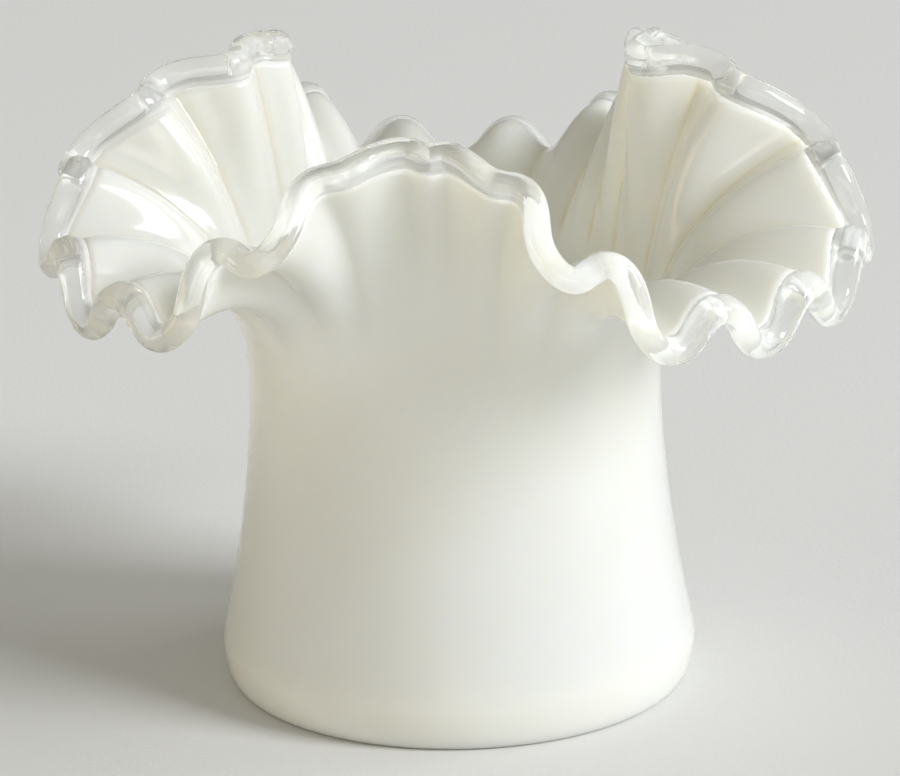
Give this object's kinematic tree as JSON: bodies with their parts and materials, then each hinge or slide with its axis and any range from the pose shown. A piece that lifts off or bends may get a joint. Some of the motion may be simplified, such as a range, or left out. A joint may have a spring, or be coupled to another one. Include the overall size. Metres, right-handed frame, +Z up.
{
  "type": "top hat vase",
  "caption": "Vase shaped like an upturned top hat: flared milk glass crown, wide crimped brim rising in waves, and a clear glass crest fused along the edge.",
  "frame": {"origin": "on the axis of the crown, in the plane that the vase stands on; the hollow underside lies 0.8 mm above it", "axes": "+Z up along the crown's axis, -Y towards the viewer of the picture, +X to the viewer's right; one wave of the brim stands at the front, 7.2 degrees round from -Y towards -X"},
  "size_m": [0.1568, 0.1573, 0.1226],
  "materials": {
    "milk_glass": "opaque white opal glass, fire polished to a soft satin shine",
    "clear_glass": "clear, fire polished, drawn on by hand"
  },
  "bodies": {
    "root": {"milk_glass_body": "milk_glass", "clear_crest_edge": "clear_glass"}
  },
  "joints": []
}
